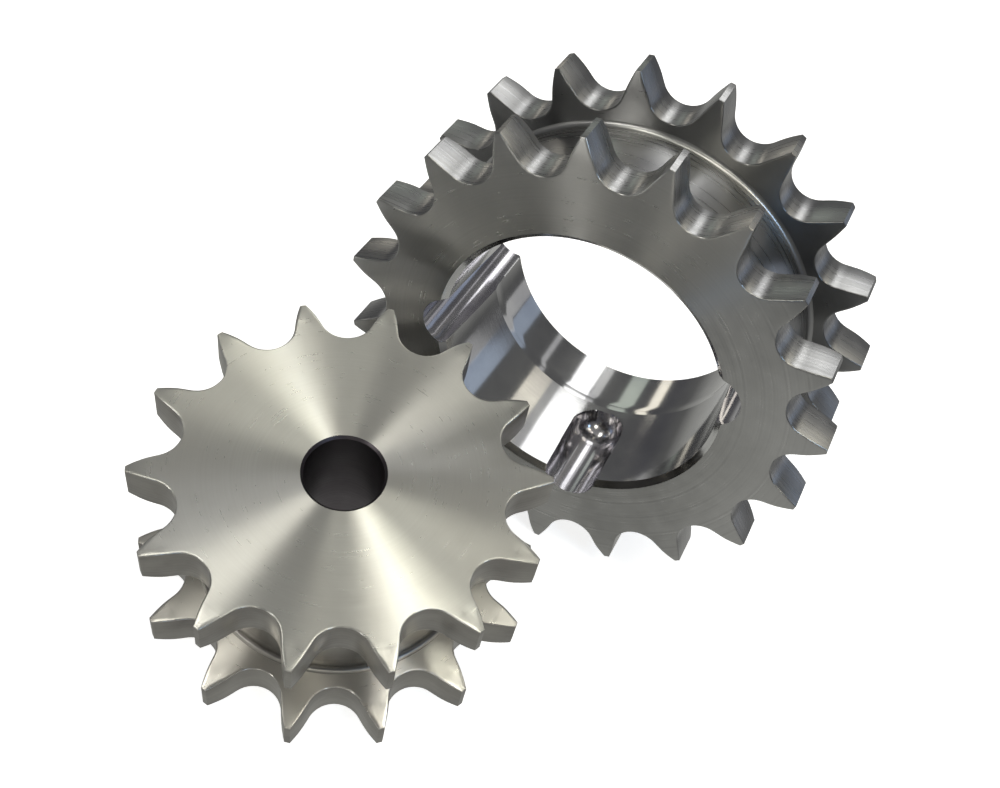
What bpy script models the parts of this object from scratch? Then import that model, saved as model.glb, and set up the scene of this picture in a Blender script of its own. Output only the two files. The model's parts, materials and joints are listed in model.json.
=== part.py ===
"""Pair of double-row chain sprockets for two single strands of 12.7 mm roller chain.

The larger sprocket, bored for a taper bush, stands on its teeth with its axis along Y.
The smaller one, with a plain pilot bore, lies face up in front of it, tilted 12 degrees.
Each sprocket is two toothed plates on the ends of a hub. Metres, +Z up, and the origin
is under the middle of the pair, on the surface that it stands on.
"""
import math

import bmesh
import bpy
from mathutils import Matrix, Vector

MM = 0.001

# Chain: 12.7 mm pitch, 8.51 mm rollers
PITCH = 12.7 * MM
SEAT_RADIUS = 4.32 * MM         # where a roller sits, just over its own radius

# Both sprockets
TOOTH_WIDTH = 7.2 * MM
TOTAL_WIDTH = 29.6 * MM
TIP_HEIGHT = 2.7 * MM           # tooth tip above the pitch circle
TIP_LAND = 0.9 * MM             # width of a tooth's tip along the rim
TIP_RELIEF = 0.45 * MM          # how far each side of a tooth is set back at its tip
RELIEF_REACH = 3.0 * MM         # how far down from the tip that relief runs
FIT_GAP = 0.3 * MM              # between touching pieces
RUNNING_GAP = 0.5 * MM          # between the two sprockets
SEATING_ANGLE = 130.0           # degrees of a tooth gap that fit the roller, less a share per tooth
SEATING_ANGLE_SHARE = 90.0

# Small sprocket
SMALL_TEETH = 14
SMALL_HUB_RADIUS = 21.3 * MM
PILOT_BORE_RADIUS = 6.0 * MM
PILOT_CHAMFER = 0.4 * MM
SMALL_LEAN = math.radians(12.0)         # its axis, away from upright
SMALL_LEAN_TURN = math.radians(-10.7)   # direction of the axis it leans about
SMALL_TOOTH_TURN = math.radians(4.5)    # first tooth, from the sprocket's own X
SMALL_OFFSET_X = -19.4 * MM             # sideways from the large sprocket's axis

# Large sprocket
LARGE_TEETH = 19
LARGE_HUB_RADIUS = 31.7 * MM
TAPER_MOUTH_RADIUS = 23.8 * MM          # 1210 bush, large end
TAPER_HALF_ANGLE = math.radians(4.0)
TAPER_LENGTH = 18.2 * MM
RELIEVED_BORE_RADIUS = 22.8 * MM        # behind the taper seat
MOUTH_CHAMFER = 0.9 * MM
REAR_CHAMFER = 0.3 * MM
LARGE_TOOTH_TURN = math.radians(-82.1)  # first tooth, from the sprocket's own X

# Half holes for the bush's screws, cut into the taper bore's wall
SCREW_HOLE_RADIUS = 4.6 * MM
SCREW_CIRCLE_RADIUS = 22.7 * MM
JACK_HOLE_ANGLE = math.radians(-74.0)
SCREW_HOLE_SPACING = math.radians(94.0)
JACK_HOLE_DEPTH = 12.5 * MM             # to the start of its round end

# Where the large sprocket's axis stands, so that the origin is under the pair's middle
LARGE_PLACE_X = 5.3 * MM
LARGE_PLACE_Y = 18.68 * MM

SEAT_POINTS = 6                 # along each tooth gap's round bottom
FLANK_POINTS = 2                # along each tooth flank
BLANK_STEPS_PER_TOOTH = 3
BLANK_OVERSIZE = 0.3 * MM       # a plate's blank, past the tips of the teeth cut from it
SCREW_CUTTER_STEPS = 24
ROUND_END_STEPS = 3
CUTTER_MARGIN = 1.0 * MM
MERGE_DISTANCE = 0.01 * MM
SHARP_EDGE = math.radians(30.0)

STEEL = {"pale_turned_steel": ((0.56, 0.56, 0.52, 1.0), 0.38),
         "dark_turned_steel": ((0.33, 0.34, 0.34, 1.0), 0.32)}


def pitch_radius(teeth):
    return PITCH / (2.0 * math.sin(math.pi / teeth))


def tip_radius(teeth):
    return pitch_radius(teeth) + TIP_HEIGHT


def make_collection(name):
    collection = bpy.data.collections.new(name)
    bpy.context.scene.collection.children.link(collection)
    return collection


def make_material(name):
    colour, roughness = STEEL[name]
    material = bpy.data.materials.new(name)
    material.use_nodes = True
    shader = material.node_tree.nodes["Principled BSDF"]
    shader.inputs["Base Color"].default_value = colour
    shader.inputs["Metallic"].default_value = 1.0
    shader.inputs["Roughness"].default_value = roughness
    return material


def add_object(name, mesh, collection, parent):
    obj = bpy.data.objects.new(name, mesh)
    collection.objects.link(obj)
    obj.parent = parent
    return obj


def tooth_gap_outline(teeth):
    """One tooth gap centred on +X: tip corner, flank, round seat, flank, tip corner."""
    roller_centre = Vector((pitch_radius(teeth), 0.0))
    tip = tip_radius(teeth)
    half_seat = math.radians(SEATING_ANGLE - SEATING_ANGLE_SHARE / teeth) / 2.0
    seat = []
    for step in range(SEAT_POINTS):
        angle = half_seat * (2.0 * step / (SEAT_POINTS - 1) - 1.0)
        seat.append(roller_centre + SEAT_RADIUS * Vector((-math.cos(angle), math.sin(angle))))

    # the flank leaves the seat smoothly and bulges out to the corner of the tip
    corner_angle = math.pi / teeth - TIP_LAND / (2.0 * tip)
    corner = tip * Vector((math.cos(corner_angle), math.sin(corner_angle)))
    into_tooth = Vector((-math.cos(half_seat), math.sin(half_seat)))
    chord = corner - seat[-1]
    flank_radius = chord.length_squared / (2.0 * chord.dot(into_tooth))
    flank_centre = seat[-1] + flank_radius * into_tooth
    start = -half_seat
    end = math.atan2(corner.y - flank_centre.y, corner.x - flank_centre.x)
    flank = []
    for step in range(1, FLANK_POINTS + 1):
        angle = start + (end - start) * step / FLANK_POINTS
        flank.append(flank_centre + flank_radius * Vector((math.cos(angle), math.sin(angle))))

    mirrored = [Vector((point.x, -point.y)) for point in reversed(flank)]
    return mirrored + seat + flank


def toothed_outline(teeth, first_tooth):
    gap = tooth_gap_outline(teeth)
    outline = []
    for number in range(teeth):
        turn = Matrix.Rotation(first_tooth + 2.0 * math.pi * (number + 0.5) / teeth, 2)
        outline.extend(turn @ point for point in gap)
    return outline


def add_tooth_cutter(name, teeth, first_tooth, low, high, collection, parent):
    """Prism with the toothed outline, a little taller than the plate it shapes."""
    outline = toothed_outline(teeth, first_tooth)
    curve = bpy.data.curves.new(name + "_outline", "CURVE")
    curve.dimensions = "2D"
    curve.fill_mode = "BOTH"
    curve.extrude = (high - low) / 2.0 + CUTTER_MARGIN
    spline = curve.splines.new("POLY")
    spline.points.add(len(outline) - 1)
    for point, place in zip(spline.points, outline):
        point.co = (place.x, place.y, 0.0, 1.0)
    spline.use_cyclic_u = True
    flat = bpy.data.objects.new(name + "_outline", curve)
    collection.objects.link(flat)
    depsgraph = bpy.context.evaluated_depsgraph_get()
    mesh = bpy.data.meshes.new_from_object(flat.evaluated_get(depsgraph))
    bpy.data.objects.remove(flat)
    weld_mesh(mesh)
    cutter = add_object(name, mesh, collection, parent)
    cutter.location = (0.0, 0.0, (low + high) / 2.0)
    hide_cutter(cutter)
    return cutter


def weld_mesh(mesh):
    shape = bmesh.new()
    shape.from_mesh(mesh)
    bmesh.ops.remove_doubles(shape, verts=shape.verts, dist=MERGE_DISTANCE)
    bmesh.ops.recalc_face_normals(shape, faces=shape.faces)
    shape.to_mesh(mesh)
    shape.free()


def hide_cutter(cutter):
    cutter.hide_render = True
    cutter.display_type = "WIRE"


def add_turned(name, profile, steps, collection, parent):
    """Closed profile of (radius, height) points, given downward along its outer side."""
    shape = bmesh.new()
    corners = [shape.verts.new((radius, 0.0, height)) for radius, height in profile]
    for number, corner in enumerate(corners):
        shape.edges.new((corner, corners[(number + 1) % len(corners)]))
    mesh = bpy.data.meshes.new(name)
    shape.to_mesh(mesh)
    shape.free()
    obj = add_object(name, mesh, collection, parent)
    screw = obj.modifiers.new("turned", "SCREW")
    screw.axis = "Z"
    screw.angle = 2.0 * math.pi
    screw.steps = steps
    screw.render_steps = steps
    screw.use_merge_vertices = True
    screw.merge_threshold = MERGE_DISTANCE
    return obj


def add_boolean(obj, cutter, operation):
    boolean = obj.modifiers.new(cutter.name, "BOOLEAN")
    boolean.operation = operation
    boolean.solver = "EXACT"
    boolean.object = cutter


def plate_profile(teeth, low, high, bore_points):
    """Toothed plate's blank: full width inside, set back on both sides towards the rim."""
    relief_start = tip_radius(teeth) - RELIEF_REACH
    rim = tip_radius(teeth) + BLANK_OVERSIZE
    slope = TIP_RELIEF / RELIEF_REACH
    set_back = slope * (rim - relief_start)
    outer = [(relief_start, high),
             (rim, high - set_back),
             (rim, low + set_back),
             (relief_start, low)]
    return outer + bore_points


def hub_profile(radius, low, high, bore_points):
    return [(radius, high), (radius, low)] + bore_points


def pilot_bore(low, high):
    """Bore side of a small sprocket's piece, from its rear face up to its front face."""
    points = []
    if low == 0.0:
        points += [(PILOT_BORE_RADIUS + PILOT_CHAMFER, low), (PILOT_BORE_RADIUS, low + PILOT_CHAMFER)]
    else:
        points += [(PILOT_BORE_RADIUS, low)]
    if high == TOTAL_WIDTH:
        points += [(PILOT_BORE_RADIUS, high - PILOT_CHAMFER), (PILOT_BORE_RADIUS + PILOT_CHAMFER, high)]
    else:
        points += [(PILOT_BORE_RADIUS, high)]
    return points


def taper_radius(height):
    """Radius of the taper seat at a height above the rear face; widest at the front."""
    return TAPER_MOUTH_RADIUS - (TOTAL_WIDTH - height) * math.tan(TAPER_HALF_ANGLE)


def taper_bore(low, high):
    """Bore side of a large sprocket's piece, from its rear face up to its front face."""
    seat_end = TOTAL_WIDTH - TAPER_LENGTH
    points = []
    if low == 0.0:
        points += [(RELIEVED_BORE_RADIUS + REAR_CHAMFER, low), (RELIEVED_BORE_RADIUS, low + REAR_CHAMFER)]
    elif low < seat_end:
        points += [(RELIEVED_BORE_RADIUS, low)]
    else:
        points += [(taper_radius(low), low)]
    if low < seat_end < high:
        points += [(RELIEVED_BORE_RADIUS, seat_end), (taper_radius(seat_end), seat_end)]
    if high == TOTAL_WIDTH:
        chamfer_start = high - MOUTH_CHAMFER
        points += [(taper_radius(chamfer_start), chamfer_start)]
        points += [(TAPER_MOUTH_RADIUS + MOUTH_CHAMFER, high)]
    elif high < seat_end:
        points += [(RELIEVED_BORE_RADIUS, high)]
    else:
        points += [(taper_radius(high), high)]
    return points


def add_screw_cutter(name, angle, blind, collection, parent):
    """Rod along the bore: right through, or from the front face to a round blind end."""
    if blind:
        low = TOTAL_WIDTH - JACK_HOLE_DEPTH
    else:
        low = -CUTTER_MARGIN
    high = TOTAL_WIDTH + CUTTER_MARGIN
    profile = [(0.0, high), (SCREW_HOLE_RADIUS, high), (SCREW_HOLE_RADIUS, low)]
    if blind:
        for step in range(1, ROUND_END_STEPS + 1):
            turn = math.pi / 2.0 * step / ROUND_END_STEPS
            profile.append((SCREW_HOLE_RADIUS * math.cos(turn), low - SCREW_HOLE_RADIUS * math.sin(turn)))
    else:
        profile.append((0.0, low))
    cutter = add_turned(name, profile, SCREW_CUTTER_STEPS, collection, parent)
    cutter.location = (SCREW_CIRCLE_RADIUS * math.cos(angle), SCREW_CIRCLE_RADIUS * math.sin(angle), 0.0)
    hide_cutter(cutter)
    return cutter


def finish_piece(obj, material):
    obj.data.materials.append(material)
    obj.data.shade_smooth()
    obj.data.set_sharp_from_angle(angle=SHARP_EDGE)


def build_sprocket(prefix, teeth, first_tooth, hub_radius, bore, material, parts, cutters, axis):
    """Front plate, hub and rear plate, with the rear face at the axis empty's own z = 0."""
    steps = teeth * BLANK_STEPS_PER_TOOTH
    rear_plate_top = TOOTH_WIDTH
    front_plate_bottom = TOTAL_WIDTH - TOOTH_WIDTH
    plates = {"front_toothed_plate": (front_plate_bottom, TOTAL_WIDTH),
              "rear_toothed_plate": (0.0, rear_plate_top)}
    pieces = {}
    for place, (low, high) in plates.items():
        name = prefix + "_" + place
        profile = plate_profile(teeth, low, high, bore(low, high))
        plate = add_turned(name, profile, steps, parts, axis)
        cutter = add_tooth_cutter(name + "_teeth", teeth, first_tooth, low, high, cutters, axis)
        add_boolean(plate, cutter, "INTERSECT")
        pieces[place] = plate
    low = rear_plate_top + FIT_GAP
    high = front_plate_bottom - FIT_GAP
    profile = hub_profile(hub_radius, low, high, bore(low, high))
    pieces["hub"] = add_turned(prefix + "_hub", profile, steps, parts, axis)
    for piece in pieces.values():
        finish_piece(piece, material)
    return pieces


def cut_screw_holes(pieces, cutters, axis):
    jack = add_screw_cutter("jack_hole_cutter", JACK_HOLE_ANGLE, True, cutters, axis)
    left = add_screw_cutter("left_screw_cutter", JACK_HOLE_ANGLE - SCREW_HOLE_SPACING, False, cutters, axis)
    right = add_screw_cutter("right_screw_cutter", JACK_HOLE_ANGLE + SCREW_HOLE_SPACING, False, cutters, axis)
    for piece in pieces.values():
        add_boolean(piece, left, "DIFFERENCE")
        add_boolean(piece, right, "DIFFERENCE")
    add_boolean(pieces["front_toothed_plate"], jack, "DIFFERENCE")
    add_boolean(pieces["hub"], jack, "DIFFERENCE")


def add_axis_empty(name, collection, matrix):
    empty = bpy.data.objects.new(name, None)
    empty.empty_display_size = TOTAL_WIDTH
    empty.matrix_world = matrix
    collection.objects.link(empty)
    return empty


def tooth_extremes(teeth, first_tooth):
    """Outermost corners of every tooth on both rows, in the sprocket's own frame."""
    rim = tip_radius(teeth)
    half_land = TIP_LAND / (2.0 * rim)
    corners = []
    for row_low in (0.0, TOTAL_WIDTH - TOOTH_WIDTH):
        for height in (row_low + TIP_RELIEF, row_low + TOOTH_WIDTH - TIP_RELIEF):
            for number in range(teeth):
                middle = first_tooth + 2.0 * math.pi * number / teeth
                for angle in (middle - half_land, middle + half_land):
                    corners.append(Vector((rim * math.cos(angle), rim * math.sin(angle), height)))
    return corners


def large_placement():
    """Own z points forward along world -Y; the lowest teeth stand on z = 0."""
    turn = Matrix.Rotation(math.pi / 2.0, 4, "X")
    lowest = min((turn @ corner).z for corner in tooth_extremes(LARGE_TEETH, LARGE_TOOTH_TURN))
    return Matrix.Translation((LARGE_PLACE_X, LARGE_PLACE_Y + TOTAL_WIDTH, -lowest)) @ turn


def small_placement():
    """Leaning, lowest tooth on z = 0, furthest tooth a running gap short of the large face."""
    lean_axis = Vector((math.cos(SMALL_LEAN_TURN), math.sin(SMALL_LEAN_TURN), 0.0))
    turn = Matrix.Rotation(SMALL_LEAN, 4, lean_axis)
    corners = [turn @ corner for corner in tooth_extremes(SMALL_TEETH, SMALL_TOOTH_TURN)]
    lowest = min(corner.z for corner in corners)
    furthest = max(corner.y for corner in corners)
    place_x = LARGE_PLACE_X + SMALL_OFFSET_X
    place_y = LARGE_PLACE_Y - RUNNING_GAP - furthest
    return Matrix.Translation((place_x, place_y, -lowest)) @ turn


def main():
    for obj in list(bpy.data.objects):
        bpy.data.objects.remove(obj)
    parts = make_collection("double_row_sprocket_pair")
    cutters = make_collection("cutters")
    pale = make_material("pale_turned_steel")
    dark = make_material("dark_turned_steel")

    small_axis = add_axis_empty("small_sprocket_axis", parts, small_placement())
    large_axis = add_axis_empty("large_sprocket_axis", parts, large_placement())
    build_sprocket("small", SMALL_TEETH, SMALL_TOOTH_TURN, SMALL_HUB_RADIUS, pilot_bore, pale,
                   parts, cutters, small_axis)
    large = build_sprocket("large", LARGE_TEETH, LARGE_TOOTH_TURN, LARGE_HUB_RADIUS, taper_bore, dark,
                           parts, cutters, large_axis)
    cut_screw_holes(large, cutters, large_axis)


main()
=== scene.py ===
"""Two double-row chain sprockets on a pale studio floor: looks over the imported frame."""
import json
import math

import bmesh
import bpy
from mathutils import Matrix, Vector


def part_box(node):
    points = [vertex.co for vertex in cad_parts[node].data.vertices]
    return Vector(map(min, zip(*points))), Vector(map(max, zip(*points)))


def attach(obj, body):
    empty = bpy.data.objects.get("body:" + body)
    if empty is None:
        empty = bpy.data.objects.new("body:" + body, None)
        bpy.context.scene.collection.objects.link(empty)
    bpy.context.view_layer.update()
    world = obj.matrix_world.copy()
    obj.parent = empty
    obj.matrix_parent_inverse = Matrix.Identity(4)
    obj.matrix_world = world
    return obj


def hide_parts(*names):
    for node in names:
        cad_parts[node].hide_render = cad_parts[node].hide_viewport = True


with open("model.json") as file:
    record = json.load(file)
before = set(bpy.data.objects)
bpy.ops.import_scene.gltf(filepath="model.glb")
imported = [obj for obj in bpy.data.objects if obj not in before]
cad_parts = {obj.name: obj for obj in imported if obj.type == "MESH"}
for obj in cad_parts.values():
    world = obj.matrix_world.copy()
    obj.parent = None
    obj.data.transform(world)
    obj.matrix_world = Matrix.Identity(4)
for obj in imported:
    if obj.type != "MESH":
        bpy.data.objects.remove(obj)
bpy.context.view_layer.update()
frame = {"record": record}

MM = 0.001

# Teeth and widths, as in the CAD model
PITCH = 12.7 * MM
SEAT_RADIUS = 4.32 * MM
SEATING_ANGLE = 130.0           # degrees of a tooth gap that fit the roller, less a share per tooth
SEATING_ANGLE_SHARE = 90.0
TOOTH_WIDTH = 7.2 * MM
TOTAL_WIDTH = 29.6 * MM
TIP_HEIGHT = 2.7 * MM
TIP_LAND = 0.9 * MM
TIP_RELIEF = 0.45 * MM
RELIEF_REACH = 3.0 * MM
EDGE_BREAK = 0.18 * MM          # rounded edge along the teeth
CORNER_FILLET = 0.9 * MM        # where a hub meets its toothed plates

SMALL_TEETH = 14
SMALL_TOOTH_TURN = math.radians(4.5)
SMALL_HUB_RADIUS = 21.3 * MM
PILOT_BORE_RADIUS = 6.0 * MM
PILOT_CHAMFER = 0.4 * MM

LARGE_TEETH = 19
LARGE_TOOTH_TURN = math.radians(-82.1)
LARGE_HUB_RADIUS = 31.7 * MM
TAPER_MOUTH_RADIUS = 23.8 * MM
TAPER_HALF_ANGLE = math.radians(4.0)
TAPER_LENGTH = 18.2 * MM
RELIEVED_BORE_RADIUS = 22.8 * MM
MOUTH_CHAMFER = 0.9 * MM
REAR_CHAMFER = 0.3 * MM
SCREW_HOLE_RADIUS = 4.6 * MM
SCREW_CIRCLE_RADIUS = 22.7 * MM
JACK_HOLE_ANGLE = math.radians(-74.0)
SCREW_HOLE_SPACING = math.radians(94.0)
JACK_HOLE_DEPTH = 12.5 * MM         # to the start of its round end
ROUND_END_HIGH = TOTAL_WIDTH - JACK_HOLE_DEPTH
ROUND_END_LOW = ROUND_END_HIGH - SCREW_HOLE_RADIUS
HOLE_REACH = math.radians(22.0)     # columns are eased into line with a half hole this far out

# Mesh density
SEAT_STEPS = 14
FLANK_STEPS = 11
LAND_STEPS = 2
FACE_RINGS = 7
TOOTH_RINGS = 7
EDGE_STEPS = 3
FINE_STEP = 0.3 * MM            # between the rings of a screw hole's round end
COARSE_STEP = 5.0 * FINE_STEP   # between the rings elsewhere in a bore
FILLET_STEPS = 4
HOLE_MARGIN = 0.12 * MM         # wall this far outside the bore belongs to a screw hole
STEP_OVER = 0.02 * MM           # height of the step from the relieved bore to the taper seat
ROUNDING = 0.000001             # two numbers this close count as equal
SHARP_EDGE = math.radians(28.0)

FACE, FLANK, BORE, HOLE = range(4)      # material slots on each piece


# ---------------------------------------------------------------- outlines

def pitch_radius(teeth):
    return PITCH / (2.0 * math.sin(math.pi / teeth))


def tip_radius(teeth):
    return pitch_radius(teeth) + TIP_HEIGHT


def polar(radius, angle):
    return Vector((radius * math.cos(angle), radius * math.sin(angle)))


def tooth_gap_outline(teeth):
    """One tooth gap centred on +X, from the middle of one tip's land to just short of the next."""
    roller_centre = Vector((pitch_radius(teeth), 0.0))
    tip = tip_radius(teeth)
    half_seat = math.radians(SEATING_ANGLE - SEATING_ANGLE_SHARE / teeth) / 2.0
    seat = []
    for step in range(SEAT_STEPS + 1):
        angle = half_seat * (2.0 * step / SEAT_STEPS - 1.0)
        seat.append(roller_centre + SEAT_RADIUS * Vector((-math.cos(angle), math.sin(angle))))

    corner_angle = math.pi / teeth - TIP_LAND / (2.0 * tip)
    corner = polar(tip, corner_angle)
    into_tooth = Vector((-math.cos(half_seat), math.sin(half_seat)))
    chord = corner - seat[-1]
    flank_radius = chord.length_squared / (2.0 * chord.dot(into_tooth))
    flank_centre = seat[-1] + flank_radius * into_tooth
    start = -half_seat
    end = math.atan2(corner.y - flank_centre.y, corner.x - flank_centre.x)
    flank = []
    for step in range(1, FLANK_STEPS + 1):
        angle = start + (end - start) * step / FLANK_STEPS
        flank.append(flank_centre + polar(flank_radius, angle))

    land = []
    for step in range(1, LAND_STEPS):
        land.append(polar(tip, corner_angle + (math.pi / teeth - corner_angle) * step / LAND_STEPS))
    side = flank + land
    mirrored = [Vector((point.x, -point.y)) for point in reversed(side)]
    return [polar(tip, -math.pi / teeth)] + mirrored + seat + side


def toothed_outline(teeth, first_tooth):
    gap = tooth_gap_outline(teeth)
    outline = []
    for number in range(teeth):
        turn = Matrix.Rotation(first_tooth + 2.0 * math.pi * (number + 0.5) / teeth, 2)
        outline.extend(turn @ point for point in gap)
    return outline


def outward_normals(outline):
    normals = []
    for number, point in enumerate(outline):
        along = outline[(number + 1) % len(outline)] - outline[number - 1]
        normals.append(Vector((along.y, -along.x)).normalized())
    return normals


def tip_set_back(radius, teeth):
    """How far a tooth's side stands back at a radius: a shallow arc that is deepest at the tip."""
    past = max(0.0, radius - (tip_radius(teeth) - RELIEF_REACH))
    return TIP_RELIEF * (past / RELIEF_REACH) ** 1.5


# ------------------------------------------------------------------- bores

def pilot_bore(height):
    near_end = min(height, TOTAL_WIDTH - height)
    return PILOT_BORE_RADIUS + max(0.0, PILOT_CHAMFER - near_end)


def taper_bore(height):
    seat_end = TOTAL_WIDTH - TAPER_LENGTH
    if height < seat_end:
        return RELIEVED_BORE_RADIUS + max(0.0, REAR_CHAMFER - height)
    radius = TAPER_MOUTH_RADIUS - (TOTAL_WIDTH - height) * math.tan(TAPER_HALF_ANGLE)
    chamfer_start = TOTAL_WIDTH - MOUTH_CHAMFER
    if height > chamfer_start:
        radius += height - chamfer_start
    return radius


def screw_hole_size(angle, height):
    """Radius of the half hole at that angle: the jack hole stops in a round end."""
    if angle != JACK_HOLE_ANGLE:
        return SCREW_HOLE_RADIUS
    past = TOTAL_WIDTH - JACK_HOLE_DEPTH - height
    if past <= 0.0:
        return SCREW_HOLE_RADIUS
    return math.sqrt(max(0.0, SCREW_HOLE_RADIUS ** 2 - past ** 2))


def bore_column(angle, height, bore, holes):
    """Point of the bore wall for one column, slid sideways so that hole edges fall on columns."""
    radius = bore(height)
    for hole in holes:
        away = (angle - hole + math.pi) % (2.0 * math.pi) - math.pi
        if abs(away) > HOLE_REACH:
            continue
        distance = SCREW_CIRCLE_RADIUS
        cosine = (distance ** 2 + radius ** 2 - SCREW_HOLE_RADIUS ** 2) / (2.0 * distance * radius)
        edge = math.acos(cosine)
        middle = bore(TOTAL_WIDTH / 2.0)
        cosine = (distance ** 2 + middle ** 2 - SCREW_HOLE_RADIUS ** 2) / (2.0 * distance * middle)
        usual_edge = math.acos(cosine)
        if abs(away) <= usual_edge:
            moved = abs(away) * edge / usual_edge
        else:
            rest = (abs(away) - usual_edge) / (HOLE_REACH - usual_edge)
            moved = edge + rest * (HOLE_REACH - edge)
        angle = hole + math.copysign(moved, away)
        size = screw_hole_size(hole, height)
        sideways = distance * math.sin(moved)
        if moved < edge + ROUNDING and size > sideways:
            wall = distance * math.cos(moved) + math.sqrt(size ** 2 - sideways ** 2)
            radius = max(radius, wall)
        break
    return polar(radius, angle)


def bore_heights(low, high, corners):
    """Heights of the bore's rings: both ends, every corner, and steps between them."""
    stops = sorted({low, high} | {corner for corner in corners if low < corner < high})
    heights = []
    for start, end in zip(stops, stops[1:]):
        steps = max(1, round((end - start) / COARSE_STEP))
        if start >= ROUND_END_LOW - ROUNDING and end <= ROUND_END_HIGH + ROUNDING:
            steps = max(1, round((end - start) / FINE_STEP))
        for step in range(steps):
            heights.append(start + (end - start) * step / steps)
    heights.append(high)
    return heights


PILOT_CORNERS = [PILOT_CHAMFER, TOTAL_WIDTH - PILOT_CHAMFER]
TAPER_CORNERS = [REAR_CHAMFER, TOTAL_WIDTH - TAPER_LENGTH, TOTAL_WIDTH - TAPER_LENGTH + STEP_OVER,
                 ROUND_END_LOW, ROUND_END_HIGH, TOTAL_WIDTH - MOUTH_CHAMFER]


# ------------------------------------------------------------------ meshes

def at_height(points, height):
    return [Vector((point.x, point.y, height)) for point in points]


def mesh_from_loops(name, loops, slots, bore):
    """Closed ring of quads. slots gives the material for the band after each loop."""
    shape = bmesh.new()
    rings = [[shape.verts.new(point) for point in loop] for loop in loops]
    count = len(loops[0])
    for number, ring in enumerate(rings):
        following = rings[(number + 1) % len(rings)]
        for column in range(count):
            after = (column + 1) % count
            face = shape.faces.new((ring[column], ring[after], following[after], following[column]))
            middle = face.calc_center_median()
            in_hole = slots[number] == BORE and middle.xy.length > bore(middle.z) + HOLE_MARGIN
            face.material_index = HOLE if in_hole else slots[number]
            face.smooth = True
    bmesh.ops.recalc_face_normals(shape, faces=shape.faces)
    mesh = bpy.data.meshes.new(name)
    shape.to_mesh(mesh)
    shape.free()
    mesh.set_sharp_from_angle(angle=SHARP_EDGE)
    return mesh


class Band:
    """Collects loops in order round a piece's section, each with the material that follows it."""

    def __init__(self):
        self.loops = []
        self.slots = []

    def add(self, loop, slot):
        self.loops.append(loop)
        self.slots.append(slot)


def blend_points(inner, outer, share):
    return [a.lerp(b, share) for a, b in zip(inner, outer)]


def plate_mesh(name, teeth, first_tooth, low, high, bore, corners, holes):
    """Toothed plate: up the bore, out over the upper face, down the teeth, back underneath."""
    outline = toothed_outline(teeth, first_tooth)
    normals = outward_normals(outline)
    angles = [math.atan2(point.y, point.x) for point in outline]
    root = pitch_radius(teeth) - SEAT_RADIUS - 3.0 * EDGE_BREAK
    root_ring = [polar(root, angle) for angle in angles]
    tooth_edge = [point - normal * EDGE_BREAK for point, normal in zip(outline, normals)]

    band = Band()
    for height in bore_heights(low, high, corners):
        ring = [bore_column(angle, height, bore, holes) for angle in angles]
        band.add(at_height(ring, height), BORE)
    band.slots[-1] = FACE
    upper_bore = [Vector(point[:2]) for point in band.loops[-1]]
    lower_bore = [Vector(point[:2]) for point in band.loops[0]]

    def side(bore_edge, height, inward):
        loops = []
        for step in range(1, FACE_RINGS + 1):
            loops.append(at_height(blend_points(bore_edge, root_ring, step / FACE_RINGS), height))
        for step in range(1, TOOTH_RINGS + 1):
            ring = blend_points(root_ring, tooth_edge, step / TOOTH_RINGS)
            loops.append([Vector((point.x, point.y, height + inward * tip_set_back(point.length, teeth)))
                          for point in ring])
        return loops

    def rounded_edge(height, inward):
        loops = []
        for step in range(1, EDGE_STEPS + 1):
            angle = math.pi / 2.0 * step / EDGE_STEPS
            loop = []
            for point, edge, normal in zip(outline, tooth_edge, normals):
                out = edge + normal * EDGE_BREAK * math.sin(angle)
                drop = tip_set_back(edge.length, teeth) + EDGE_BREAK * (1.0 - math.cos(angle))
                loop.append(Vector((out.x, out.y, height + inward * drop)))
            loops.append(loop)
        return loops

    for loop in side(upper_bore, high, -1.0) + rounded_edge(high, -1.0)[:-1]:
        band.add(loop, FACE)
    upper_wall = rounded_edge(high, -1.0)[-1]
    lower_wall = rounded_edge(low, 1.0)[-1]
    for share in (0.0, 0.5, 1.0):
        band.add([a.lerp(b, share) for a, b in zip(upper_wall, lower_wall)], FLANK)
    band.slots[-1] = FACE
    for loop in reversed(side(lower_bore, low, 1.0) + rounded_edge(low, 1.0)[:-1]):
        band.add(loop, FACE)
    return mesh_from_loops(name, band.loops, band.slots, bore)


def hub_mesh(name, radius, low, high, bore, corners, holes, columns):
    """Hub between the rows, with a fillet into the plate at each end."""
    angles = [2.0 * math.pi * number / columns for number in range(columns)]
    band = Band()
    for height in bore_heights(low, high, corners):
        ring = [bore_column(angle, height, bore, holes) for angle in angles]
        band.add(at_height(ring, height), BORE)
    band.slots[-1] = FACE
    for end, inward in ((high, -1.0), (low, 1.0)):
        fillet = []
        for step in range(FILLET_STEPS + 1):
            angle = math.pi / 2.0 * step / FILLET_STEPS
            out = radius + CORNER_FILLET * (1.0 - math.sin(angle))
            height = end + inward * CORNER_FILLET * (1.0 - math.cos(angle))
            fillet.append(at_height([polar(out, turn) for turn in angles], height))
        if end == low:
            fillet.reverse()
        for loop in fillet:
            band.add(loop, FLANK)
    band.slots[-1] = FACE
    return mesh_from_loops(name, band.loops, band.slots, bore)


def place_piece(node, mesh, placement, body, materials):
    piece = bpy.data.objects.new(node + "_fine", mesh)
    bpy.context.scene.collection.objects.link(piece)
    piece.matrix_world = placement
    for material in materials:
        mesh.materials.append(material)
    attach(piece, body)
    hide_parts(node)
    return piece


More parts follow.
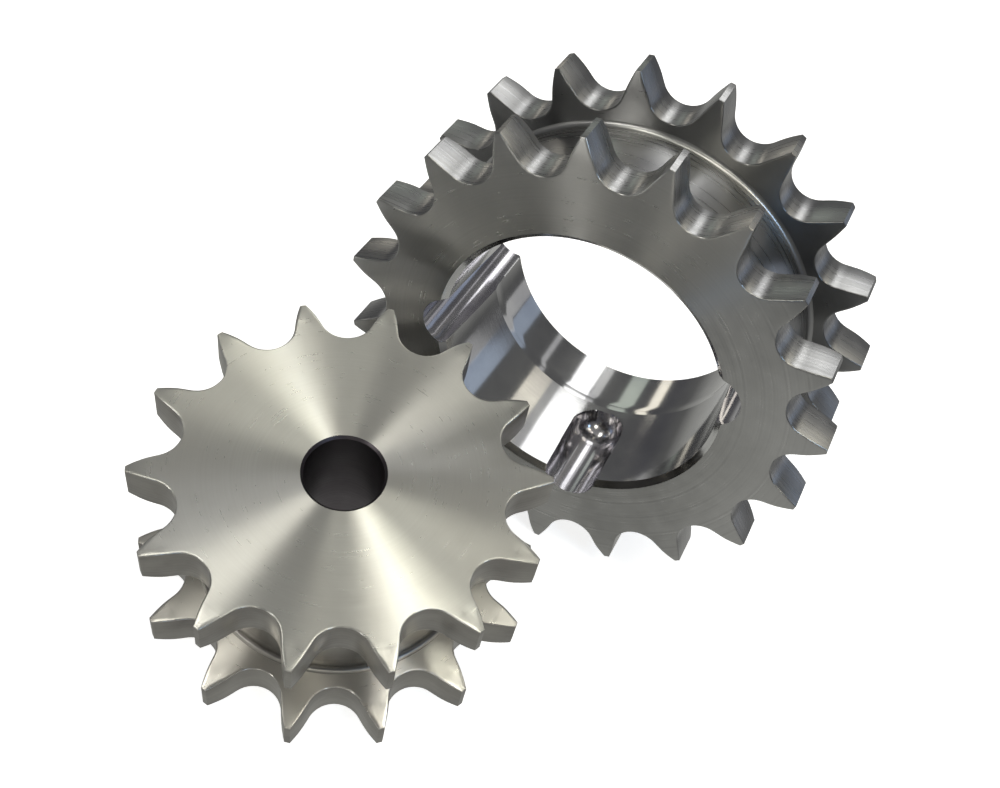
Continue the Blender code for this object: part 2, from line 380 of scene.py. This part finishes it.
def sprocket_placement(prefix, axis):
    """Own +Z along the axis, with the rear face at z = 0, from where the hub's box stands."""
    low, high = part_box(prefix + "_hub")
    middle = (Vector(low) + Vector(high)) / 2.0
    turn = Vector((0.0, 0.0, 1.0)).rotation_difference(axis).to_matrix().to_4x4()
    return Matrix.Translation(middle - axis * TOTAL_WIDTH / 2.0) @ turn


def mount_axis(name):
    for mount in frame["record"]["mounts"]:
        if mount["name"] == name:
            return Vector(mount["axis"]).normalized()
    raise KeyError(name)


def build_sprocket(prefix, teeth, first_tooth, hub_radius, bore, corners, holes, materials):
    placement = sprocket_placement(prefix, mount_axis(prefix + "_front_face"))
    body = prefix + "_sprocket"
    plate_bottom = TOTAL_WIDTH - TOOTH_WIDTH
    for place, low, high in (("front", plate_bottom, TOTAL_WIDTH), ("rear", 0.0, TOOTH_WIDTH)):
        node = prefix + "_" + place + "_toothed_plate"
        mesh = plate_mesh(node + "_fine", teeth, first_tooth, low, high, bore, corners, holes)
        place_piece(node, mesh, placement, body, materials)
    node = prefix + "_hub"
    columns = teeth * (SEAT_STEPS + 2 * FLANK_STEPS + 2 * LAND_STEPS)
    mesh = hub_mesh(node + "_fine", hub_radius, TOOTH_WIDTH, plate_bottom, bore, corners, holes, columns)
    place_piece(node, mesh, placement, body, materials)


# --------------------------------------------------------------- materials

def fill_ramp(ramp, stops):
    elements = ramp.color_ramp.elements
    while len(elements) < len(stops):
        elements.new(0.5)
    for element, (position, colour) in zip(elements, stops):
        element.position = position
        element.color = colour


class Nodes:
    """Small helper that adds and wires shader nodes."""

    def __init__(self, name):
        self.material = bpy.data.materials.new(name)
        self.material.use_nodes = True
        self.tree = self.material.node_tree
        self.shader = self.tree.nodes["Principled BSDF"]
        self.place = self.add("ShaderNodeTexCoord").outputs["Object"]

    def add(self, kind, **settings):
        node = self.tree.nodes.new(kind)
        for name, value in settings.items():
            setattr(node, name, value)
        return node

    def link(self, output, target):
        self.tree.links.new(output, target)

    def math(self, operation, first, second=0.0):
        node = self.add("ShaderNodeMath", operation=operation)
        for socket, value in zip(node.inputs, (first, second)):
            if isinstance(value, (int, float)):
                socket.default_value = value
            else:
                self.link(value, socket)
        return node.outputs[0]

    def axis_distance(self):
        """Distance from the sprocket's axis, for marks that run round it."""
        parts = self.add("ShaderNodeSeparateXYZ")
        self.link(self.place, parts.inputs[0])
        across = self.math("MULTIPLY", parts.outputs[0], parts.outputs[0])
        along = self.math("MULTIPLY", parts.outputs[1], parts.outputs[1])
        return self.math("SQRT", self.math("ADD", across, along))

    def height(self):
        parts = self.add("ShaderNodeSeparateXYZ")
        self.link(self.place, parts.inputs[0])
        return parts.outputs[2]

    def painted_gap_mask(self):
        """1 on the faces that look into the gap between the rows of teeth, else 0: it places the painted
        light and shade of the gap.
        """
        away = self.math("ABSOLUTE", self.math("SUBTRACT", self.height(), TOTAL_WIDTH / 2.0))
        return self.math("LESS_THAN", away, TOTAL_WIDTH / 2.0 - TOOTH_WIDTH / 2.0)

    def line_noise(self, value, scale, detail=3.0):
        """Noise along one number, which draws uneven parallel lines."""
        noise = self.add("ShaderNodeTexNoise", noise_dimensions="1D")
        noise.inputs["Scale"].default_value = scale
        noise.inputs["Detail"].default_value = detail
        self.link(value, noise.inputs["W"])
        return noise.outputs[0]

    def cloud_noise(self, scale, detail=4.0):
        noise = self.add("ShaderNodeTexNoise")
        noise.inputs["Scale"].default_value = scale
        noise.inputs["Detail"].default_value = detail
        self.link(self.place, noise.inputs["Vector"])
        return noise.outputs[0]

    def ramp(self, value, stops):
        ramp = self.add("ShaderNodeValToRGB")
        fill_ramp(ramp, stops)
        self.link(value, ramp.inputs[0])
        return ramp.outputs[0]

    def range(self, value, low, high, from_low=0.3, from_high=0.7):
        node = self.add("ShaderNodeMapRange")
        node.inputs["From Min"].default_value = from_low
        node.inputs["From Max"].default_value = from_high
        node.inputs["To Min"].default_value = low
        node.inputs["To Max"].default_value = high
        self.link(value, node.inputs["Value"])
        return node.outputs[0]

    def mix_colour(self, factor, first, second, blend="MIX"):
        node = self.add("ShaderNodeMix", data_type="RGBA", blend_type=blend)
        for socket, value in ((node.inputs[0], factor), (node.inputs[6], first), (node.inputs[7], second)):
            if isinstance(value, (int, float)):
                socket.default_value = value
            elif isinstance(value, tuple):
                socket.default_value = value
            else:
                self.link(value, socket)
        return node.outputs[2]

    def bump(self, value, distance, strength, under=None):
        node = self.add("ShaderNodeBump")
        node.inputs["Strength"].default_value = strength
        node.inputs["Distance"].default_value = distance
        self.link(value, node.inputs["Height"])
        if under is not None:
            self.link(under, node.inputs["Normal"])
        return node.outputs[0]

    def tangent_round_axis(self, amount, turn):
        tangent = self.add("ShaderNodeTangent", direction_type="RADIAL", axis="Z")
        self.link(tangent.outputs[0], self.shader.inputs["Tangent"])
        self.shader.inputs["Anisotropic"].default_value = amount
        self.shader.inputs["Anisotropic Rotation"].default_value = turn


FACE_RING_SCALE = 2600.0        # noise scales, per metre
FACE_CLOUD_SCALE = 55.0
FACE_SCUFF_SCALE = 420.0
TOOTH_LINE_SCALE = 1500.0
TOOTH_CLOUD_SCALE = 120.0
BORE_LINE_SCALE = 4200.0
BORE_CLOUD_SCALE = 90.0


def turned_face(name, dark, light, between, roughness):
    """Faced-off steel: fine rings round the axis, faint clouding and small bright scuffs. The faces
    between the rows of teeth take the between colour instead, which is painted shade where it is darker
    and painted light where it is lighter than the face.
    """
    nodes = Nodes(name)
    shader = nodes.shader
    shader.inputs["Metallic"].default_value = 1.0
    distance = nodes.axis_distance()
    rings = nodes.line_noise(distance, FACE_RING_SCALE, 4.0)
    clouds = nodes.cloud_noise(FACE_CLOUD_SCALE, 5.0)
    scuffs = nodes.cloud_noise(FACE_SCUFF_SCALE, 2.0)
    colour = nodes.ramp(clouds, ((0.3, dark), (0.7, light)))
    colour = nodes.mix_colour(nodes.range(rings, 0.0, 0.35), colour, dark)
    # Painted light and shade: the faces between the rows take a colour that stands in for how light falls
    # in the gap.
    colour = nodes.mix_colour(nodes.painted_gap_mask(), colour, between)
    nodes.link(colour, shader.inputs["Base Color"])
    rough = nodes.range(rings, roughness * 0.9, roughness * 1.12)
    rough = nodes.math("ADD", rough, nodes.range(scuffs, -0.02, 0.03))
    nodes.link(rough, shader.inputs["Roughness"])
    grooves = nodes.bump(rings, 0.01 * MM, 0.35)
    nodes.link(nodes.bump(scuffs, 0.01 * MM, 0.05, grooves), shader.inputs["Normal"])
    nodes.tangent_round_axis(1.0, 0.25)
    return nodes.material


def cut_teeth(name, dark, light, roughness):
    """Milled tooth flanks and turned hub: lines round the rim and darker patches of oil."""
    nodes = Nodes(name)
    shader = nodes.shader
    shader.inputs["Metallic"].default_value = 1.0
    lines = nodes.line_noise(nodes.height(), TOOTH_LINE_SCALE, 4.0)
    clouds = nodes.cloud_noise(TOOTH_CLOUD_SCALE, 5.0)
    colour = nodes.ramp(clouds, ((0.32, dark), (0.68, light)))
    nodes.link(colour, shader.inputs["Base Color"])
    rough = nodes.range(lines, roughness * 0.85, roughness * 1.2)
    nodes.link(rough, shader.inputs["Roughness"])
    nodes.link(nodes.bump(lines, 0.02 * MM, 0.22), shader.inputs["Normal"])
    return nodes.material


def bored_wall(name, dark, light, roughness):
    """Bored wall: close tool lines round it and cloudy patches of colour."""
    nodes = Nodes(name)
    shader = nodes.shader
    shader.inputs["Metallic"].default_value = 1.0
    lines = nodes.line_noise(nodes.height(), BORE_LINE_SCALE, 3.0)
    clouds = nodes.cloud_noise(BORE_CLOUD_SCALE, 4.0)
    colour = nodes.ramp(clouds, ((0.3, dark), (0.6, light)))
    nodes.link(colour, shader.inputs["Base Color"])
    rough = nodes.range(lines, roughness * 0.8, roughness * 1.25)
    nodes.link(rough, shader.inputs["Roughness"])
    nodes.link(nodes.bump(lines, 0.004 * MM, 0.3), shader.inputs["Normal"])
    return nodes.material


# In slot order. The smaller sprocket has no screw holes, so nothing uses its last slot.
SMALL_MATERIALS = [
    # The third colour is painted light: the smaller sprocket's faces between its rows are drawn lighter
    # than the rest of the face.
    turned_face("small_turned_face", (0.54, 0.53, 0.50, 1.0), (0.62, 0.62, 0.59, 1.0),
                (0.70, 0.68, 0.64, 1.0), 0.31),
    cut_teeth("small_cut_teeth", (0.20, 0.19, 0.18, 1.0), (0.32, 0.31, 0.29, 1.0), 0.34),
    # The pilot bore's near-black colour is painted shade for the depth of the bore, not the steel's own
    # colour; the unused spare wall copies it.
    bored_wall("small_bore_painted_shade", (0.07, 0.06, 0.07, 1.0), (0.12, 0.11, 0.12, 1.0), 0.4),
    bored_wall("small_spare_wall_painted_shade", (0.07, 0.06, 0.07, 1.0), (0.12, 0.11, 0.12, 1.0), 0.4),
]
LARGE_MATERIALS = [
    # The third colour is painted shade: the larger sprocket's faces between its rows are drawn darker than
    # the rest of the face.
    turned_face("large_turned_face", (0.40, 0.40, 0.39, 1.0), (0.50, 0.50, 0.49, 1.0),
                (0.27, 0.27, 0.27, 1.0), 0.31),
    cut_teeth("large_cut_teeth", (0.32, 0.32, 0.32, 1.0), (0.45, 0.45, 0.44, 1.0), 0.3),
    bored_wall("large_bore", (0.42, 0.42, 0.43, 1.0), (0.56, 0.56, 0.55, 1.0), 0.1),
    bored_wall("large_screw_hole", (0.36, 0.35, 0.39, 1.0), (0.56, 0.55, 0.57, 1.0), 0.15),
]


# ---------------------------------------------------------- floor and light

MIDDLE = Vector((0.0, 0.0, 0.04))
WARM = (1.0, 0.94, 0.80)
NEUTRAL = (1.0, 1.0, 1.0)
COOL = (0.62, 0.76, 1.0)
FLOOR_HALF_SIZE = 4.0
BACKDROP_RADIUS = 4.5

# The room's colour, from straight down at 0 to straight up at 1
WORLD_STOPS = (
    (0.0, (0.48, 0.48, 0.45, 1.0)),
    (0.20, (0.52, 0.52, 0.50, 1.0)),
    (0.33, (0.34, 0.34, 0.33, 1.0)),
    (0.41, (0.14, 0.14, 0.14, 1.0)),
    (0.52, (0.10, 0.10, 0.11, 1.0)),
    (0.80, (0.16, 0.16, 0.16, 1.0)),
    (1.0, (0.40, 0.40, 0.38, 1.0)),
)


def glowing_paper(name, grey, roughness, specular, glow):
    material = bpy.data.materials.new(name)
    material.use_nodes = True
    shader = material.node_tree.nodes["Principled BSDF"]
    shader.inputs["Base Color"].default_value = (grey, grey, grey, 1.0)
    shader.inputs["Roughness"].default_value = roughness
    shader.inputs["Specular IOR Level"].default_value = specular
    shader.inputs["Emission Color"].default_value = (1.0, 1.0, 1.0, 1.0)
    shader.inputs["Emission Strength"].default_value = glow
    return material


def add_floor():
    """Pale paper: it glows a little itself, and metal mirrors the studio below it instead."""
    mesh = bpy.data.meshes.new("floor")
    shape = bmesh.new()
    bmesh.ops.create_grid(shape, x_segments=1, y_segments=1, size=FLOOR_HALF_SIZE)
    shape.to_mesh(mesh)
    shape.free()
    floor = bpy.data.objects.new("floor", mesh)
    bpy.context.scene.collection.objects.link(floor)
    mesh.materials.append(glowing_paper("floor_paper", 0.9, 0.9, 0.1, 0.75))
    floor.visible_glossy = False


def add_backdrop():
    """Pale dome behind everything, seen by the camera alone."""
    mesh = bpy.data.meshes.new("backdrop")
    shape = bmesh.new()
    bmesh.ops.create_uvsphere(shape, u_segments=48, v_segments=24, radius=BACKDROP_RADIUS)
    shape.to_mesh(mesh)
    shape.free()
    backdrop = bpy.data.objects.new("backdrop", mesh)
    bpy.context.scene.collection.objects.link(backdrop)
    mesh.materials.append(glowing_paper("backdrop_paper", 0.0, 0.5, 0.0, 0.97))
    backdrop.visible_diffuse = False
    backdrop.visible_glossy = False
    backdrop.visible_transmission = False
    backdrop.visible_shadow = False


def add_soft_box(name, direction, distance, width, height, radiance, colour, side=(1.0, 0.0, 0.0)):
    """Rectangular light aimed at the middle; side is roughly where its width runs."""
    towards = Vector(direction).normalized()
    across = (Vector(side) - towards * towards.dot(Vector(side))).normalized()
    data = bpy.data.lights.new(name, "AREA")
    data.shape = "RECTANGLE"
    data.size = width
    data.size_y = height
    data.energy = radiance * math.pi * width * height
    data.color = colour
    lamp = bpy.data.objects.new(name, data)
    bpy.context.scene.collection.objects.link(lamp)
    axes = Matrix((across, towards.cross(across), towards)).transposed().to_4x4()
    lamp.matrix_world = Matrix.Translation(MIDDLE + towards * distance) @ axes
    return lamp


def add_world():
    """Dim room: grey below, where the paper's reflection would be, and darker above."""
    world = bpy.data.worlds.new("studio")
    world.use_nodes = True
    tree = world.node_tree
    place = tree.nodes.new("ShaderNodeTexCoord")
    parts = tree.nodes.new("ShaderNodeSeparateXYZ")
    tree.links.new(place.outputs["Generated"], parts.inputs[0])
    ramp = tree.nodes.new("ShaderNodeValToRGB")
    fill_ramp(ramp, WORLD_STOPS)
    rise = tree.nodes.new("ShaderNodeMath")
    rise.operation = "MULTIPLY_ADD"
    rise.inputs[1].default_value = 0.5
    rise.inputs[2].default_value = 0.5
    tree.links.new(parts.outputs[2], rise.inputs[0])
    tree.links.new(rise.outputs[0], ramp.inputs[0])
    tree.links.new(ramp.outputs[0], tree.nodes["Background"].inputs["Color"])
    bpy.context.scene.world = world


# Cards stand behind the pair in two rings round the larger sprocket's axis, and its bore mirrors
# them: the outer ring in the tapered seat, the inner ring in the plain bore behind it.
# Each is (name, from, to, radiance, colour), in degrees round that axis.
OUTER_CARDS = (
    ("outer_grey", -9.0, 7.0, 0.45, NEUTRAL),
    ("outer_blue", 8.0, 26.0, 0.55, COOL),
    ("outer_cream", 54.0, 71.0, 1.2, WARM),
    ("outer_pale", 72.0, 80.0, 0.40, NEUTRAL),
    ("outer_white", 81.0, 105.0, 2.4, NEUTRAL),
)
INNER_CARDS = (
    ("inner_grey", -9.0, 7.0, 0.45, NEUTRAL),
    ("inner_blue", 8.0, 26.0, 0.45, COOL),
    ("inner_thin", 52.0, 57.0, 0.60, NEUTRAL),
    ("inner_white", 84.0, 104.0, 2.4, NEUTRAL),
    ("inner_dim", 105.0, 113.0, 0.70, NEUTRAL),
    ("inner_sage", 131.0, 146.0, 0.60, (0.90, 1.0, 0.88)),
    ("inner_narrow", 159.0, 169.0, 1.5, WARM),
)
CARD_RINGS = ((OUTER_CARDS, math.radians(54.5)), (INNER_CARDS, math.radians(37.0)))
CARD_DISTANCE = 0.55
CARD_LENGTH = 0.14


def add_card_rings():
    for cards, half_angle in CARD_RINGS:
        for name, start, end, radiance, colour in cards:
            middle = math.radians((start + end) / 2.0)
            direction = (math.sin(half_angle) * math.cos(middle), math.cos(half_angle),
                         math.sin(half_angle) * math.sin(middle))
            side = (-math.sin(middle), 0.0, math.cos(middle))
            half_turn = math.radians(end - start) / 2.0
            width = 2.0 * CARD_DISTANCE * math.sin(half_angle) * math.tan(half_turn)
            add_soft_box(name, direction, CARD_DISTANCE, width, CARD_LENGTH, radiance, colour, side)


# Soft boxes round the pair, each (name, direction, radiance, colour), and one size for all
SOFT_BOXES = (
    ("ceiling_box", (0.10, -0.03, 0.99), 8.5, (1.0, 0.99, 0.84)),
    ("back_ceiling_box", (-0.13, 0.13, 0.98), 2.4, (1.0, 0.99, 0.88)),
    ("high_right_box", (0.24, -0.24, 0.94), 4.5, (1.0, 0.92, 0.82)),
    ("right_box", (0.50, -0.29, 0.82), 7.0, (1.0, 0.93, 0.74)),
    ("back_right_box", (0.24, 0.24, 0.94), 3.5, (1.0, 0.98, 0.84)),
    ("high_left_box", (-0.43, -0.22, 0.87), 4.5, (1.0, 0.98, 0.88)),
    ("left_box", (-0.47, -0.42, 0.77), 5.0, (1.0, 0.98, 0.88)),
    ("low_left_box", (-0.47, -0.81, 0.34), 10.0, (1.0, 0.98, 0.92)),
    ("low_front_box", (0.14, -0.78, 0.62), 6.0, (1.0, 0.97, 0.84)),
    ("blue_box", (0.66, -0.42, 0.62), 8.0, (0.45, 0.68, 1.0)),
)
SOFT_BOX_SIZE = 0.16
SOFT_BOX_DISTANCE = 0.8


def add_lights():
    for name, direction, radiance, colour in SOFT_BOXES:
        add_soft_box(name, direction, SOFT_BOX_DISTANCE, SOFT_BOX_SIZE, SOFT_BOX_SIZE, radiance, colour)
    add_card_rings()


# -------------------------------------------------------------------- camera

CAMERA_PLACE = (0.0238, -0.1402, 0.1881)
CAMERA_HEADING = math.radians(10.12)    # turned left of +Y
CAMERA_PITCH = math.radians(45.18)      # up from straight down
CAMERA_ROLL = math.radians(21.46)
CAMERA_LENS = 48.82                     # millimetres
SENSOR_WIDTH = 36.0                     # millimetres


def add_camera():
    data = bpy.data.cameras.new("camera")
    data.lens = CAMERA_LENS
    data.sensor_width = SENSOR_WIDTH
    data.clip_start = 0.01
    camera = bpy.data.objects.new("camera", data)
    bpy.context.scene.collection.objects.link(camera)
    turn = (Matrix.Rotation(CAMERA_HEADING, 4, "Z") @ Matrix.Rotation(CAMERA_PITCH, 4, "X")
            @ Matrix.Rotation(CAMERA_ROLL, 4, "Z"))
    camera.matrix_world = Matrix.Translation(CAMERA_PLACE) @ turn
    bpy.context.scene.camera = camera


def main():
    bpy.context.scene.view_settings.view_transform = "Standard"
    build_sprocket("small", SMALL_TEETH, SMALL_TOOTH_TURN, SMALL_HUB_RADIUS, pilot_bore,
                   PILOT_CORNERS, [], SMALL_MATERIALS)
    holes = [JACK_HOLE_ANGLE, JACK_HOLE_ANGLE - SCREW_HOLE_SPACING, JACK_HOLE_ANGLE + SCREW_HOLE_SPACING]
    build_sprocket("large", LARGE_TEETH, LARGE_TOOTH_TURN, LARGE_HUB_RADIUS, taper_bore,
                   TAPER_CORNERS, holes, LARGE_MATERIALS)
    add_floor()
    add_backdrop()
    add_world()
    add_lights()
    add_camera()


main()
